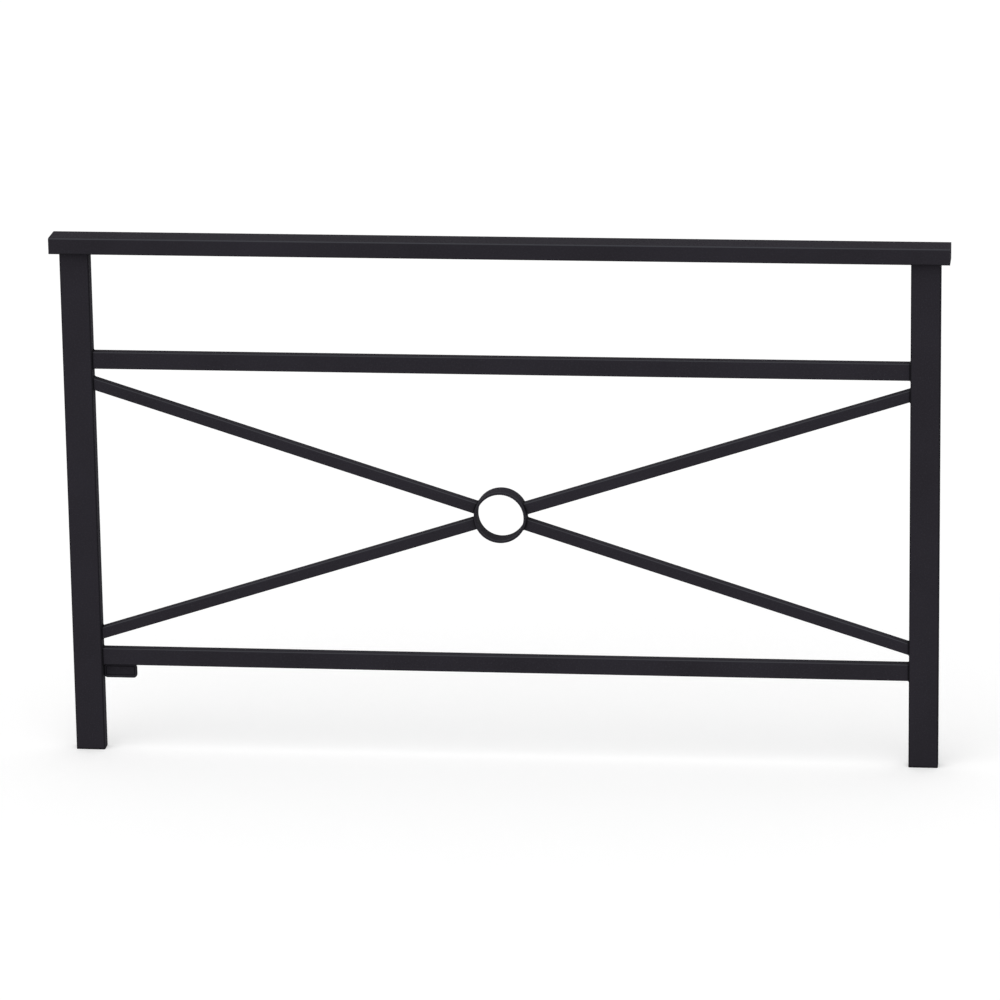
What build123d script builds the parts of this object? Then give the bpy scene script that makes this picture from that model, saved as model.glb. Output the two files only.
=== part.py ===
from build123d import *
import os
from math import atan2, degrees

# Street barrier: a frame welded from rectangular steel tube, with a St Andrew's cross that meets a ring.
# Millimetres. The origin is the middle of the left post's foot, +X runs along the barrier to the right post,
# +Y to the back and +Z up. Every piece is centred on the plane Y = 0.

# Whole barrier
barrier_length = 2000.0  # along the handrail, over both end caps
barrier_height = 1200.0  # from the feet to the top of the handrail, about 200 of it cast into the ground
handrail_overhang = 20.0  # from the handrail's end to the outer face of the post

# Rectangular tubes: outer sizes and walls
handrail_depth = 72.0
handrail_height = 37.0
handrail_wall = 3.0
post_width = 66.0
post_depth = 36.0
post_wall = 3.0
rail_depth = 25.0
rail_height = 39.0
rail_wall = 2.0
brace_depth = 25.0
brace_height = 26.0
brace_wall = 2.0
bore_corner_radius = 0.6  # inside corners of the roll-formed tubes; outside corners are a wall thicker

# Heights of the rails and the ends of the braces
hand_gap = 229.0  # clear opening between the handrail and the upper rail
foot_length = 201.0  # post below the lower rail
brace_setback = 35.0  # from a rail to a brace's centreline, measured up the post

# Ring in the middle of the cross: flat bar rolled to a circle
ring_diameter = 118.0
ring_wall = 6.0
ring_depth = 44.0
ring_edge_chamfer = 0.8

# End caps of the handrail
cap_thickness = 3.0

# Small plate under the lower rail, in the corner at the left post
plate_length = 77.0
plate_height = 33.0
plate_thickness = 5.0
plate_corner_radius = 9.0
plate_rim_width = 5.0
plate_recess = 1.2

# Places that follow from the sizes above
left_end = -post_width / 2 - handrail_overhang
right_end = left_end + barrier_length
right_post_x = right_end - handrail_overhang - post_width / 2
left_inner_face = post_width / 2
right_inner_face = right_post_x - post_width / 2
middle_x = (left_inner_face + right_inner_face) / 2
post_height = barrier_height - handrail_height
upper_rail_top = post_height - hand_gap
upper_rail_underside = upper_rail_top - rail_height
lower_rail_top = foot_length + rail_height
ring_height = (upper_rail_underside + lower_rail_top) / 2
brace_run = middle_x - left_inner_face
brace_rise = upper_rail_underside - brace_setback - ring_height
brace_angle = degrees(atan2(brace_rise, brace_run))
ring_centre = Plane(origin=(middle_x, 0, ring_height), x_dir=(1, 0, 0), z_dir=(0, -1, 0))


def tube(plane, width, height, wall, length):
    """Rectangular tube along the plane's normal, with rounded corners and an open bore."""
    outer = RectangleRounded(width, height, bore_corner_radius + wall)
    bore = RectangleRounded(width - 2 * wall, height - 2 * wall, bore_corner_radius)
    return extrude(plane * (outer - bore), length)


def post(x):
    """Upright tube, cut square at the foot and closed at its top by the handrail."""
    return Pos(x, 0, 0) * tube(Plane.XY, post_width, post_depth, post_wall, post_height)


def along(x, z):
    """Plane across the barrier's length at x, facing +X, with its own x to the back and its y up."""
    return Plane(origin=(x, 0, z), x_dir=(0, 1, 0), z_dir=(1, 0, 0))


def handrail():
    """Broad tube over both posts, between the two end caps."""
    plane = along(left_end + cap_thickness, post_height + handrail_height / 2)
    length = barrier_length - 2 * cap_thickness
    return tube(plane, handrail_depth, handrail_height, handrail_wall, length)


def handrail_cap(x):
    """Plate that closes one end of the handrail, with the tube's own outline."""
    outline = RectangleRounded(handrail_depth, handrail_height, bore_corner_radius + handrail_wall)
    return extrude(along(x, post_height + handrail_height / 2) * outline, cap_thickness)


def rail(underside):
    """Level tube from post to post."""
    plane = along(left_inner_face, underside + rail_height / 2)
    return tube(plane, rail_depth, rail_height, rail_wall, right_inner_face - left_inner_face)


def brace(to_right, to_top):
    """Arm of the cross on a line through the ring's centre, mitred to the post and coped to the ring."""
    turn = brace_angle if to_right == to_top else -brace_angle
    axis = Vector(1 if to_right else -1, 0, 0).rotate(Axis.Y, -turn)
    start = Plane(origin=ring_centre.origin, x_dir=(0, 1, 0), z_dir=axis)
    arm = tube(start, brace_depth, brace_height, brace_wall, 2 * brace_run)
    between_posts = Box(2 * brace_run, 2 * brace_depth, barrier_height)
    cope = Cylinder(ring_diameter / 2, 2 * brace_depth)
    return (arm & Pos(*ring_centre.origin) * between_posts) - ring_centre * cope


def ring():
    """Flat bar rolled to a circle whose axis runs through the barrier, its four edges chamfered."""
    outer = Circle(ring_diameter / 2)
    bore = Circle(ring_diameter / 2 - ring_wall)
    body = extrude(ring_centre * (outer - bore), ring_depth / 2, both=True)
    return chamfer(body.edges().filter_by(GeomType.CIRCLE), ring_edge_chamfer)


def corner_plate():
    """Round-cornered plate with a raised rim round a bare panel on the front."""
    middle = Plane(
        origin=(left_inner_face + plate_length / 2, 0, foot_length - plate_height / 2),
        x_dir=(1, 0, 0),
        z_dir=(0, -1, 0),
    )
    outline = RectangleRounded(plate_length, plate_height, plate_corner_radius)
    panel = RectangleRounded(
        plate_length - 2 * plate_rim_width,
        plate_height - 2 * plate_rim_width,
        plate_corner_radius - plate_rim_width,
    )
    blank = extrude(middle * outline, plate_thickness / 2, both=True)
    front = middle.offset(plate_thickness / 2)
    return blank - extrude(front * panel, -plate_recess)


pieces = {
    "left_post": post(0),
    "right_post": post(right_post_x),
    "handrail": handrail(),
    "handrail_left_cap": handrail_cap(left_end),
    "handrail_right_cap": handrail_cap(right_end - cap_thickness),
    "upper_rail": rail(upper_rail_underside),
    "lower_rail": rail(foot_length),
    "upper_left_brace": brace(to_right=False, to_top=True),
    "upper_right_brace": brace(to_right=True, to_top=True),
    "lower_left_brace": brace(to_right=False, to_top=False),
    "lower_right_brace": brace(to_right=True, to_top=False),
    "centre_ring": ring(),
    "corner_plate": corner_plate(),
}

os.makedirs("parts", exist_ok=True)
for node, solid in pieces.items():
    export_step(solid, f"parts/{node}.step")
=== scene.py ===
"""Looks of a street barrier: a frame welded from steel tube, under a fine-textured charcoal powder coat."""
from math import radians

import bmesh
import bpy
import numpy as np
from mathutils import Matrix, Vector


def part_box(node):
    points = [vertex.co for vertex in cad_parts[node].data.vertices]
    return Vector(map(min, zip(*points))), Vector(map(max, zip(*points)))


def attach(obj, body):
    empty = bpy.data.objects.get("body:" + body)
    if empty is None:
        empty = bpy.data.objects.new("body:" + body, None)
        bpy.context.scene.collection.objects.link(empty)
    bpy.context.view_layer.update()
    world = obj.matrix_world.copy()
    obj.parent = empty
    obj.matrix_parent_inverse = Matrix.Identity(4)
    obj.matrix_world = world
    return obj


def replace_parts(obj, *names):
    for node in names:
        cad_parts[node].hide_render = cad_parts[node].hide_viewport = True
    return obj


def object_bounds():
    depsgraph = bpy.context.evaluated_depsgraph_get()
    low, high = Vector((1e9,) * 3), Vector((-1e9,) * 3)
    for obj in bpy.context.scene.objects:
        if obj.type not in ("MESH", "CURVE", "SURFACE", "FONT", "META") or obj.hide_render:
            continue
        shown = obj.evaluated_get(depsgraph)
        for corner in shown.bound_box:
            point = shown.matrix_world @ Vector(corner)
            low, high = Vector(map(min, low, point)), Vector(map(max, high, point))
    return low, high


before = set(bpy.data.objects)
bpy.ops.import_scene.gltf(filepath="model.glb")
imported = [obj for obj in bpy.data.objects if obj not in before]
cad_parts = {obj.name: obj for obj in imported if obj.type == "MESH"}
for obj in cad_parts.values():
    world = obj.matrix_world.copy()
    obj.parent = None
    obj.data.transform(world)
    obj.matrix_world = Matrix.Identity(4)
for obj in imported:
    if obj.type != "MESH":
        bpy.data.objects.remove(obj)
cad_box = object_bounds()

MM = 0.001
X_AXIS, Y_AXIS, Z_AXIS = np.eye(3)

# Camera, fitted to edges in the photograph. Degrees, and metres from the barrier's middle at foot level.
CAMERA_PLACE = Vector((1.44607, -12.38708, 4.16823))
CAMERA_YAW = 6.666
CAMERA_PITCH = 15.9544
CAMERA_ROLL = -0.8462
CAMERA_LENS_MM = 208.793

# Studio. Sky and sun together light a level surface at about 1, so a colour renders about as written.
FLOOR_SPAN = 80.0  # metres
FLOOR_COLOUR = "#E6E6E6"
FLOOR_GLOW = 0.26  # brings the floor up to white where the camera sees it
SKY_COLOUR = "#FFFFFF"
SKY_STRENGTH = 0.8
SEEN_SKY_STRENGTH = 1.0
SUN_STRENGTH = 0.75
SUN_SPREAD = 70.0  # degrees
SUN_FROM = Vector((-0.2, -0.6, 0.77))

# Frame sizes that the nodes' boxes don't give, in millimetres
POST_CORNER = 3.6
BAR_CORNER = 2.6
BRACE_DEPTH = 25.0
BRACE_HEIGHT = 26.0
BRACE_SETBACK = 35.0  # from a rail to the end of a brace's middle line, measured along the post
PLATE_CORNER = 9.0
PLATE_RIM = 5.0
PLATE_RECESS = 1.2
PLATE_EDGE = 0.8  # rounding of the rim and the back edge
PLATE_COVE = 0.4  # hollow at the foot of the rim
QUARTER_POINTS = 6  # on each rounding of the plate's profile

# Weld beads, in millimetres or as the line says
WELD_LEG = 1.8
PLATE_WELD_LEG = 1.5
PLATE_WELD_CORNER = 0.49  # of the bead's path round the plate's edge, as a share of the plate's thickness
WELD_CROWN = 0.16  # crown height as a share of the leg
WELD_WAVES = ((0.07, 3), (0.05, 8))  # height of each wave as a share of the leg, and its number along a bead
WELD_RIPPLE = 2.4  # spacing of the ripples: about 1.5 on the real bead, drawn wider so that they show
RIPPLE_HEIGHT = 0.10  # as a share of the leg
RIPPLE_BEND = 0.4  # how far a ripple bends along the bead, as a share of its spacing
WELD_SINK = 0.5  # how far the bead's hidden corner lies inside the steel
WELD_STEP = 0.45  # between points along a bead
WELD_ROWS = 9  # points across a bead's face

# Powder coat: sizes in millimetres, and the patterns made with them
GRIT = 3.0  # grain of the texture: about 0.5 on the real coat, drawn coarser so that it shows
PEEL = 14.0  # soft waves of the flowed-out film
CLOUD = 180.0  # uneven film thickness
# How far the painted shade reaches from an inside corner.
SHADE_REACH = 5.5  # from an inside corner
PANEL_LINE = 3.0  # width over which the painted shade at the foot of the plate's rim thins out
GRIT_NOISE = {"Scale": 1 / (GRIT * MM), "Detail": 2.0, "Roughness": 0.6}
PEEL_NOISE = {"Scale": 1 / (PEEL * MM), "Detail": 1.0}
CLOUD_NOISE = {"Scale": 1 / (CLOUD * MM), "Detail": 3.0}
GRIT_BUMP = {"Distance": 0.2 * MM, "Strength": 0.8}
PEEL_BUMP = {"Distance": 0.3 * MM, "Strength": 0.5}
SPECULAR_LEVEL = 0.025  # low, because the grain scatters the gloss

# Powder coat: colours, and how far each mark shows, from 0 to 1
FILM_DARK = "#28262B"
FILM_PALE = "#2C2A30"
GRAIN_COLOUR = "#3A393F"
GRAIN_SHOW = 0.5
# Painted shade: a dark line along the tubes' rounded corners.
CORNER_SHADE_COLOUR = "#0C0B0E"
CORNER_SHADE_SHOW = 0.5
# Painted highlight on the upper corners of the front, which face the light.
PAINTED_HIGHLIGHT_COLOUR = "#404045"
# Painted shade in inside corners, on the weld beads and in the plate's recess.
PAINTED_SHADE_COLOUR = "#0C0B0E"
PAINTED_SHADE_SHOW = 0.95
CROWN_SHADE_CUT = 0.4  # how much less painted shade there is on the crown of a bead's ripples
# Painted shade left over the plate's recessed panel.
PANEL_SHADE = 0.2

# Powder coat: where each mark begins and where it is full
FILM_RANGE = {"From Min": 0.3, "From Max": 0.7}
GRAIN_RANGE = {"From Min": 0.52, "From Max": 0.75, "To Max": GRAIN_SHOW}
# Painted shade on corners, painted highlight on upper front corners, painted shade in inside corners.
CORNER_RANGE = {"From Min": 0.02, "From Max": 0.14, "To Max": CORNER_SHADE_SHOW}
HIGHLIGHT_RANGE = {"From Min": 0.1, "From Max": 0.5}
NOOK_RANGE = {"From Min": 0.95, "From Max": 0.65, "To Max": PAINTED_SHADE_SHOW}
ROUGH_RANGE = {"From Min": 0.3, "From Max": 0.7, "To Min": 0.88, "To Max": 0.74}  # smoothest on the grains


def linear(hex_colour):
    """sRGB hex colour as linear RGBA."""
    srgb = np.array([int(hex_colour[i:i + 2], 16) for i in (1, 3, 5)]) / 255
    rgb = np.where(srgb <= 0.04045, srgb / 12.92, ((srgb + 0.055) / 1.055) ** 2.4)
    return (*map(float, rgb), 1.0)


def node(tree, kind, sockets=None, **settings):
    """Adds a node. Settings are its properties; sockets give each input a value, or what feeds it.

    An input is fed by an output, or by a node, which stands for its first output.
    """
    made = tree.nodes.new(kind)
    for name, value in settings.items():
        setattr(made, name, value)
    inputs = {socket.identifier: socket for socket in made.inputs}
    for name, value in (sockets or {}).items():
        if isinstance(value, bpy.types.Node):
            value = value.outputs[0]
        if isinstance(value, bpy.types.NodeSocket):
            tree.links.new(value, inputs[name])
        else:
            inputs[name].default_value = value
    return made


def empty_material(name):
    """Material with an empty node tree."""
    material = bpy.data.materials.new(name)
    material.use_nodes = True
    material.node_tree.nodes.clear()
    return material, material.node_tree


def coat_marks(tree):
    """Painted shade on corners, a painted highlight and painted shade in nooks, each from 0 to how far it
    shows.

    Every tube lies in the plane of the frame, so on its rounded corners the normal is between Y and that
    plane. With y and z for its parts, y^2 (1 - y^2) grows from 0 on the flats to 0.25 in the middle of a
    corner, which is painted in shade, and the smaller of -y and z grows to 0.71 on the upper corners of the
    front, which face the light and get a painted highlight. Painted shade also lies where near surfaces
    shelter a point, found by ambient occlusion, and where the piece's own attribute says so.
    """
    normal = node(tree, "ShaderNodeTexCoord").outputs["Normal"]
    parts = node(tree, "ShaderNodeSeparateXYZ", {"Vector": normal}).outputs
    y, z = parts["Y"], parts["Z"]
    # Painted shade: a dark line along every rounded corner of the tubes.
    square = node(tree, "ShaderNodeMath", {"Value": y, "Value_001": y}, operation="MULTIPLY")
    rest = node(tree, "ShaderNodeMath", {"Value": 1.0, "Value_001": square}, operation="SUBTRACT")
    corner = node(tree, "ShaderNodeMath", {"Value": square, "Value_001": rest}, operation="MULTIPLY")
    corner_shade = node(tree, "ShaderNodeMapRange", {"Value": corner, **CORNER_RANGE})

    # Painted highlight: paler upper corners of the front, which face the light.
    front = node(tree, "ShaderNodeMath", {"Value": y, "Value_001": -1.0}, operation="MULTIPLY")
    upper = node(tree, "ShaderNodeMath", {"Value": front, "Value_001": z}, operation="MINIMUM")
    painted_highlight = node(tree, "ShaderNodeMapRange", {"Value": upper, **HIGHLIGHT_RANGE})

    # Painted shade: ambient occlusion darkens inside corners, and the piece's own attribute adds more.
    open_share = node(tree, "ShaderNodeAmbientOcclusion", {"Distance": SHADE_REACH * MM}).outputs["AO"]
    nook = node(tree, "ShaderNodeMapRange", {"Value": open_share, **NOOK_RANGE})
    held = node(tree, "ShaderNodeAttribute", attribute_name="painted_shade").outputs["Fac"]
    painted_shade = node(tree, "ShaderNodeMath", {"Value": nook, "Value_001": held}, operation="MAXIMUM")
    return corner_shade, painted_highlight, painted_shade


def powder_coat():
    """Polyester powder, sprayed on galvanised steel and baked.

    It is matt, with a fine sandy grain on a softly waved film, a little uneven in tone. Painted shade runs
    as a dark line along the tubes' rounded corners, a painted highlight pales the upper corners of the front,
    which face the light, and painted shade darkens the inside corners.
    """
    material, tree = empty_material("powder_coat_charcoal")
    place = node(tree, "ShaderNodeTexCoord").outputs["Object"]
    grit = node(tree, "ShaderNodeTexNoise", {"Vector": place, **GRIT_NOISE})
    peel = node(tree, "ShaderNodeTexNoise", {"Vector": place, **PEEL_NOISE})
    cloud = node(tree, "ShaderNodeTexNoise", {"Vector": place, **CLOUD_NOISE})

    film = node(tree, "ShaderNodeMapRange", {"Value": cloud, **FILM_RANGE})
    grain = node(tree, "ShaderNodeMapRange", {"Value": grit, **GRAIN_RANGE})
    corner_shade, painted_highlight, painted_shade = coat_marks(tree)
    layers = [
        (film, FILM_PALE),
        (grain, GRAIN_COLOUR),
        (corner_shade, CORNER_SHADE_COLOUR),
        (painted_highlight, PAINTED_HIGHLIGHT_COLOUR),
        (painted_shade, PAINTED_SHADE_COLOUR),
    ]
    colour = linear(FILM_DARK)
    for share, layer in layers:
        sockets = {"Factor_Float": share, "A_Color": colour, "B_Color": linear(layer)}
        colour = node(tree, "ShaderNodeMix", sockets, data_type="RGBA").outputs[2]

    rough = node(tree, "ShaderNodeMapRange", {"Value": grit, **ROUGH_RANGE})
    waved = node(tree, "ShaderNodeBump", {"Height": peel, **PEEL_BUMP})
    grained = node(tree, "ShaderNodeBump", {"Height": grit, "Normal": waved, **GRIT_BUMP})
    surface = {
        "Base Color": colour,
        "Roughness": rough,
        "Specular IOR Level": SPECULAR_LEVEL,
        "Normal": grained,
    }
    shader = node(tree, "ShaderNodeBsdfPrincipled", surface)
    node(tree, "ShaderNodeOutputMaterial", {"Surface": shader})
    return material


def outline(width, height, corner):
    """Points and outward normals of a rounded rectangle, evenly spaced along it.

    A point slides along the sides of the rectangle that joins the corners' centres and waits at each of them
    while the normal turns a quarter; the outline stands one corner radius from it, along the normal.
    """
    half_width, half_height = width / 2 - corner, height / 2 - corner
    quarter = np.pi / 2 * corner
    stretches = np.tile([2 * half_height, quarter, 2 * half_width, quarter], 2)
    knots = np.concatenate([[0], np.cumsum(stretches)])
    count = int(knots[-1] / WELD_STEP)
    run = np.arange(count) / count * knots[-1]
    turn = np.interp(run, knots, np.pi / 2 * np.array([0, 0, 1, 1, 2, 2, 3, 3, 4]))
    normal = np.stack([np.cos(turn), np.sin(turn)], axis=1)
    centre_across = np.interp(run, knots, half_width * np.array([1, 1, 1, -1, -1, -1, -1, 1, 1]))
    centre_up = np.interp(run, knots, half_height * np.array([-1, 1, 1, 1, 1, -1, -1, -1, -1]))
    return np.stack([centre_across, centre_up], axis=1) + corner * normal, normal


def add_piece(name, points, painted_shade, capped=False):
    """Coated piece from a grid of points, in millimetres.

    Rows run round a closed path, and columns across its profile. The profile is closed too, or, where the
    piece is capped, a flat face fills the ring at each of its ends. The painted shade of each point, from 0
    to 1, is kept with the mesh.
    """
    rows, columns = points.shape[:2]
    row, column = np.meshgrid(np.arange(rows), np.arange(columns - capped), indexing="ij")
    next_row, next_column = (row + 1) % rows, (column + 1) % columns
    corners = [
        row * columns + column,
        next_row * columns + column,
        next_row * columns + next_column,
        row * columns + next_column,
    ]
    faces = np.stack(corners, axis=-1).reshape(-1, 4).tolist()
    if capped:
        first_ring = np.arange(rows) * columns
        faces += [first_ring.tolist(), (first_ring + columns - 1).tolist()]
    mesh = bpy.data.meshes.new(name)
    mesh.from_pydata((points.reshape(-1, 3) * MM).tolist(), [], faces)
    shell = bmesh.new()
    shell.from_mesh(mesh)
    bmesh.ops.recalc_face_normals(shell, faces=shell.faces)
    shell.to_mesh(mesh)
    shell.free()
    mesh.shade_smooth()
    mesh.attributes.new("painted_shade", "FLOAT", "POINT").data.foreach_set("value", painted_shade.ravel())
    mesh.materials.append(coat)
    piece = bpy.data.objects.new(name, mesh)
    bpy.context.scene.collection.objects.link(piece)
    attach(piece, "root")
    return piece


def weld_bead(name, root, toe, wall, leg=WELD_LEG):
    """Fillet weld carried along a closed path of root points, in millimetres.

    A point is root + run * toe + rise * wall. Across the bead, the run grows from 0 to the leg while the rise
    falls from the leg to 0, and both gain the crown times the sine of half a turn. Along it the leg swells
    and shrinks in waves, and the crown gains ripples, the absolute value of a sine, whose phase bends back
    towards the toes. A hidden corner closes the profile. The bead is in painted shade, least on ripple
    crowns.
    """
    draw = np.random.default_rng(list(name.encode()))
    length = np.linalg.norm(np.roll(root, -1, axis=0) - root, axis=1)
    along = (np.cumsum(length) - length)[:, None] / length.sum()
    across = np.linspace(0, 1, WELD_ROWS)[None, :]
    share, number = np.transpose(WELD_WAVES)
    waves = share * np.sin(2 * np.pi * (number * along + draw.random(len(WELD_WAVES))))
    size = leg * (1 + waves.sum(axis=1, keepdims=True))
    hump = np.sin(np.pi * across)
    ripples = round(length.sum() / WELD_RIPPLE)
    ripple = np.abs(np.sin(np.pi * (ripples * along + RIPPLE_BEND * hump)))
    crown = size * hump * (WELD_CROWN + RIPPLE_HEIGHT * ripple)
    sunk = np.full_like(size, -WELD_SINK)
    run = np.concatenate([sunk, size * across + crown, size, sunk], axis=1)
    rise = np.concatenate([size, size * (1 - across) + crown, sunk, sunk], axis=1)
    points = root[:, None] + run[..., None] * toe[:, None] + rise[..., None] * wall[:, None]
    # Painted shade over the whole bead, less on the crowns of the ripples.
    painted_shade = np.full_like(run, PAINTED_SHADE_SHOW)
    painted_shade[:, 1:WELD_ROWS + 1] -= CROWN_SHADE_CUT * hump * ripple
    add_piece(name, points, painted_shade)


def end_weld(name, centre, across, up, wall, width, height, corner, leg=WELD_LEG):
    """Bead round a tube's end or a plate's edge on a flat face.

    Its path is a rounded rectangle laid on two directions in the face. The second is longer than 1 where the
    tube meets the face at a slant, which stretches the rectangle that way.
    """
    points, normals = outline(width, height, corner)
    root = np.asarray(centre) + points[:, :1] * across + points[:, 1:] * up
    toe = normals[:, :1] * across + normals[:, 1:] * up / np.linalg.norm(up)
    weld_bead(name, root, toe, np.broadcast_to(wall, root.shape), leg)


def ring_weld(name, centre, radius, axis):
    """Bead where a brace meets the ring: the saddle curve of the brace's outline on the outer cylinder.

    A point of the outline at a height from the brace's middle lies sqrt(radius^2 - height^2) from the ring's
    centre along the brace, and the bead's toe runs along the cylinder's tangent there.
    """
    points, normals = outline(BRACE_DEPTH, BRACE_HEIGHT, BAR_CORNER)
    square = np.cross(axis, Y_AXIS)
    depth, height = points[:, :1], points[:, 1:]
    reach = np.sqrt(radius ** 2 - height ** 2)
    root = centre + reach * axis + height * square + depth * Y_AXIS
    tangent = (reach * square - height * axis) / radius
    toe = normals[:, :1] * Y_AXIS + normals[:, 1:] * tangent
    weld_bead(name, root, toe, np.broadcast_to(axis, root.shape))


def box_mm(name):
    """Lowest corner, highest corner and middle of a CAD node, in millimetres."""
    low, high = (np.array(corner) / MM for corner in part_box(name))
    return low, high, (low + high) / 2


def frame_welds():
    """Beads at the posts' tops, the rails' ends and both ends of the braces."""
    posts = {"left": box_mm("left_post"), "right": box_mm("right_post")}
    rails = {"upper": box_mm("upper_rail"), "lower": box_mm("lower_rail")}
    upper_rail_low, lower_rail_high = rails["upper"][0], rails["lower"][1]
    brace_end = {"upper": upper_rail_low[2] - BRACE_SETBACK, "lower": lower_rail_high[2] + BRACE_SETBACK}
    ring_low, ring_high, ring_middle = box_mm("centre_ring")
    ring_radius = (ring_high - ring_low)[0] / 2
    for side, (low, high, middle) in posts.items():
        width, depth, height = high - low
        end_weld(f"{side}_post_top_weld", (middle[0], 0, height), X_AXIS, Y_AXIS, -Z_AXIS,
                 width, depth, POST_CORNER)
        face = high[0] if side == "left" else low[0]
        inward = X_AXIS if side == "left" else -X_AXIS
        for level, (rail_low, rail_high, rail_middle) in rails.items():
            end_weld(f"{level}_rail_{side}_weld", (face, 0, rail_middle[2]), Y_AXIS, Z_AXIS, inward,
                     rail_high[1] - rail_low[1], rail_high[2] - rail_low[2], BAR_CORNER)
            end = np.array([face, 0, brace_end[level]])
            axis = (ring_middle - end) / np.linalg.norm(ring_middle - end)
            end_weld(f"{level}_{side}_brace_post_weld", end, Y_AXIS, Z_AXIS / abs(axis[0]), axis,
                     BRACE_DEPTH, BRACE_HEIGHT, BAR_CORNER)
            ring_weld(f"{level}_{side}_brace_ring_weld", ring_middle, ring_radius, -axis)


def plate_welds():
    """Beads where the corner plate meets the lower rail and the left post."""
    low, high, middle = box_mm("corner_plate")
    length, thickness, height = high - low
    corner = PLATE_WELD_CORNER * thickness
    end_weld("corner_plate_rail_weld", (middle[0], 0, high[2]), X_AXIS, Y_AXIS, -Z_AXIS,
             length - 2 * PLATE_CORNER, thickness, corner, PLATE_WELD_LEG)
    end_weld("corner_plate_post_weld", (low[0], 0, middle[2]), Y_AXIS, Z_AXIS, X_AXIS,
             thickness, height - 2 * PLATE_CORNER, corner, PLATE_WELD_LEG)


def rimmed_plate():
    """Corner plate with a rounded rim: a profile of (inset, depth) carried round the plate's outline.

    The inset is taken from the outline along its normal, the depth from the plate's middle towards the back.
    The profile is four quarter circles and a flat strip: the back edge, the rim's outer edge, its inner edge,
    the cove at its foot, and the panel's border, over which the painted shade at the rim's foot thins out.
    """
    low, high, middle = box_mm("corner_plate")
    length, thickness, height = high - low
    points, normals = outline(length, height, PLATE_CORNER)
    turn = np.linspace(0, np.pi / 2, QUARTER_POINTS)
    sin, cos = np.sin(turn), np.cos(turn)
    edge = thickness / 2 - PLATE_EDGE
    cove = thickness / 2 - PLATE_RECESS + PLATE_COVE
    inset = np.concatenate([
        PLATE_EDGE * (1 - sin),
        PLATE_EDGE * (1 - cos),
        PLATE_RIM - PLATE_EDGE * (1 - sin),
        PLATE_RIM + PLATE_COVE * (1 - cos),
        [PLATE_RIM + PANEL_LINE],
    ])
    depth = np.concatenate([
        edge + PLATE_EDGE * cos,
        -edge - PLATE_EDGE * sin,
        -edge - PLATE_EDGE * cos,
        -cove + PLATE_COVE * sin,
        [-cove + PLATE_COVE],
    ])
    flat = points[:, None] - inset[None, :, None] * normals[:, None]
    grid = middle + flat[..., :1] * X_AXIS + flat[..., 1:] * Z_AXIS + depth[None, :, None] * Y_AXIS
    lines = [PLATE_RIM, PLATE_RIM + PLATE_COVE, PLATE_RIM + PANEL_LINE]
    # Painted shade: darkest at the foot of the rim, fading to a lighter painted shade over the panel.
    painted_shade = np.broadcast_to(np.interp(inset, lines, [0, PAINTED_SHADE_SHOW, PANEL_SHADE]), grid.shape[:2])
    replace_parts(add_piece("rimmed_plate", grid, painted_shade, capped=True), "corner_plate")


def seen_rays(tree):
    """1 for rays that show the studio, directly, in gloss or through glass; 0 for rays that light."""
    path = node(tree, "ShaderNodeLightPath").outputs
    sockets = {"Value": path["Is Glossy Ray"], "Value_001": path["Is Transmission Ray"]}
    gloss_or_glass = node(tree, "ShaderNodeMath", sockets, operation="MAXIMUM")
    sockets = {"Value": path["Is Camera Ray"], "Value_001": gloss_or_glass}
    return node(tree, "ShaderNodeMath", sockets, operation="MAXIMUM")


def studio_floor():
    """Pale matt floor that keeps the shadow, brought up to white where it is seen."""
    half = FLOOR_SPAN / 2
    corners = [(-half, -half, 0), (half, -half, 0), (half, half, 0), (-half, half, 0)]
    mesh = bpy.data.meshes.new("floor")
    mesh.from_pydata(corners, [], [(0, 1, 2, 3)])
    floor = bpy.data.objects.new("floor", mesh)
    bpy.context.scene.collection.objects.link(floor)
    material, tree = empty_material("studio_floor")
    matt = node(tree, "ShaderNodeBsdfDiffuse", {"Color": linear(FLOOR_COLOUR)})
    seen = seen_rays(tree)
    glow = node(tree, "ShaderNodeMath", {"Value": seen, "Value_001": FLOOR_GLOW}, operation="MULTIPLY")
    light = node(tree, "ShaderNodeEmission", {"Strength": glow})
    both = node(tree, "ShaderNodeAddShader", {"Shader": matt, "Shader_001": light})
    node(tree, "ShaderNodeOutputMaterial", {"Surface": both})
    mesh.materials.append(material)


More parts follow.
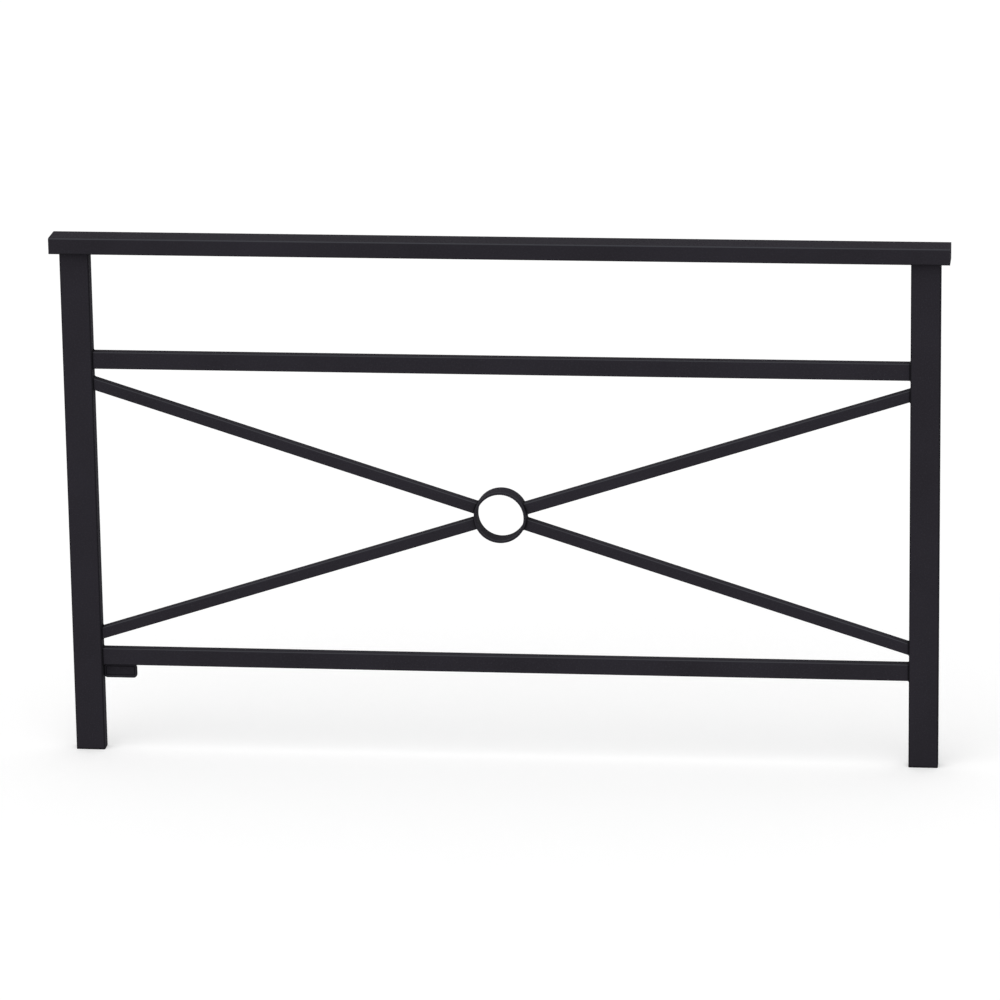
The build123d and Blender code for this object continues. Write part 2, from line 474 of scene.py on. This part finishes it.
def studio_light():
    """Even white sky, white where it is seen, and one broad soft sun from above the camera's left."""
    scene = bpy.context.scene
    world = bpy.data.worlds.new("studio")
    scene.world = world
    world.use_nodes = True
    tree = world.node_tree
    tree.nodes.clear()
    levels = {"To Min": SKY_STRENGTH, "To Max": SEEN_SKY_STRENGTH}
    strength = node(tree, "ShaderNodeMapRange", {"Value": seen_rays(tree), **levels})
    sky = node(tree, "ShaderNodeBackground", {"Color": linear(SKY_COLOUR), "Strength": strength})
    node(tree, "ShaderNodeOutputWorld", {"Surface": sky})
    lamp = bpy.data.lights.new("soft_sun", "SUN")
    lamp.energy = SUN_STRENGTH
    lamp.angle = radians(SUN_SPREAD)
    sun = bpy.data.objects.new("soft_sun", lamp)
    sun.rotation_euler = SUN_FROM.to_track_quat("Z", "Y").to_euler()
    scene.collection.objects.link(sun)


def photo_camera():
    """Camera where the photograph was taken from: turned, pitched down, then rolled on its own axis."""
    yaw, pitch, roll = (radians(angle) for angle in (CAMERA_YAW, CAMERA_PITCH, CAMERA_ROLL))
    level_right = Vector((np.cos(yaw), np.sin(yaw), 0))
    ahead = Vector((-np.sin(yaw) * np.cos(pitch), np.cos(yaw) * np.cos(pitch), -np.sin(pitch)))
    level_up = level_right.cross(ahead)
    right = np.cos(roll) * level_right + np.sin(roll) * level_up
    up = np.cos(roll) * level_up - np.sin(roll) * level_right
    turned = Matrix((right, up, -ahead)).transposed().to_4x4()
    middle = Vector(((cad_box[0].x + cad_box[1].x) / 2, 0, 0))
    data = bpy.data.cameras.new("photo_camera")
    data.lens = CAMERA_LENS_MM
    data.clip_end = 2 * FLOOR_SPAN
    camera = bpy.data.objects.new("photo_camera", data)
    camera.matrix_world = Matrix.Translation(middle + CAMERA_PLACE) @ turned
    bpy.context.scene.collection.objects.link(camera)
    bpy.context.scene.camera = camera


coat = powder_coat()
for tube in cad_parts.values():
    tube.data.materials.clear()
    tube.data.materials.append(coat)
rimmed_plate()
frame_welds()
plate_welds()
studio_floor()
studio_light()
photo_camera()
bpy.context.scene.view_settings.view_transform = "Standard"
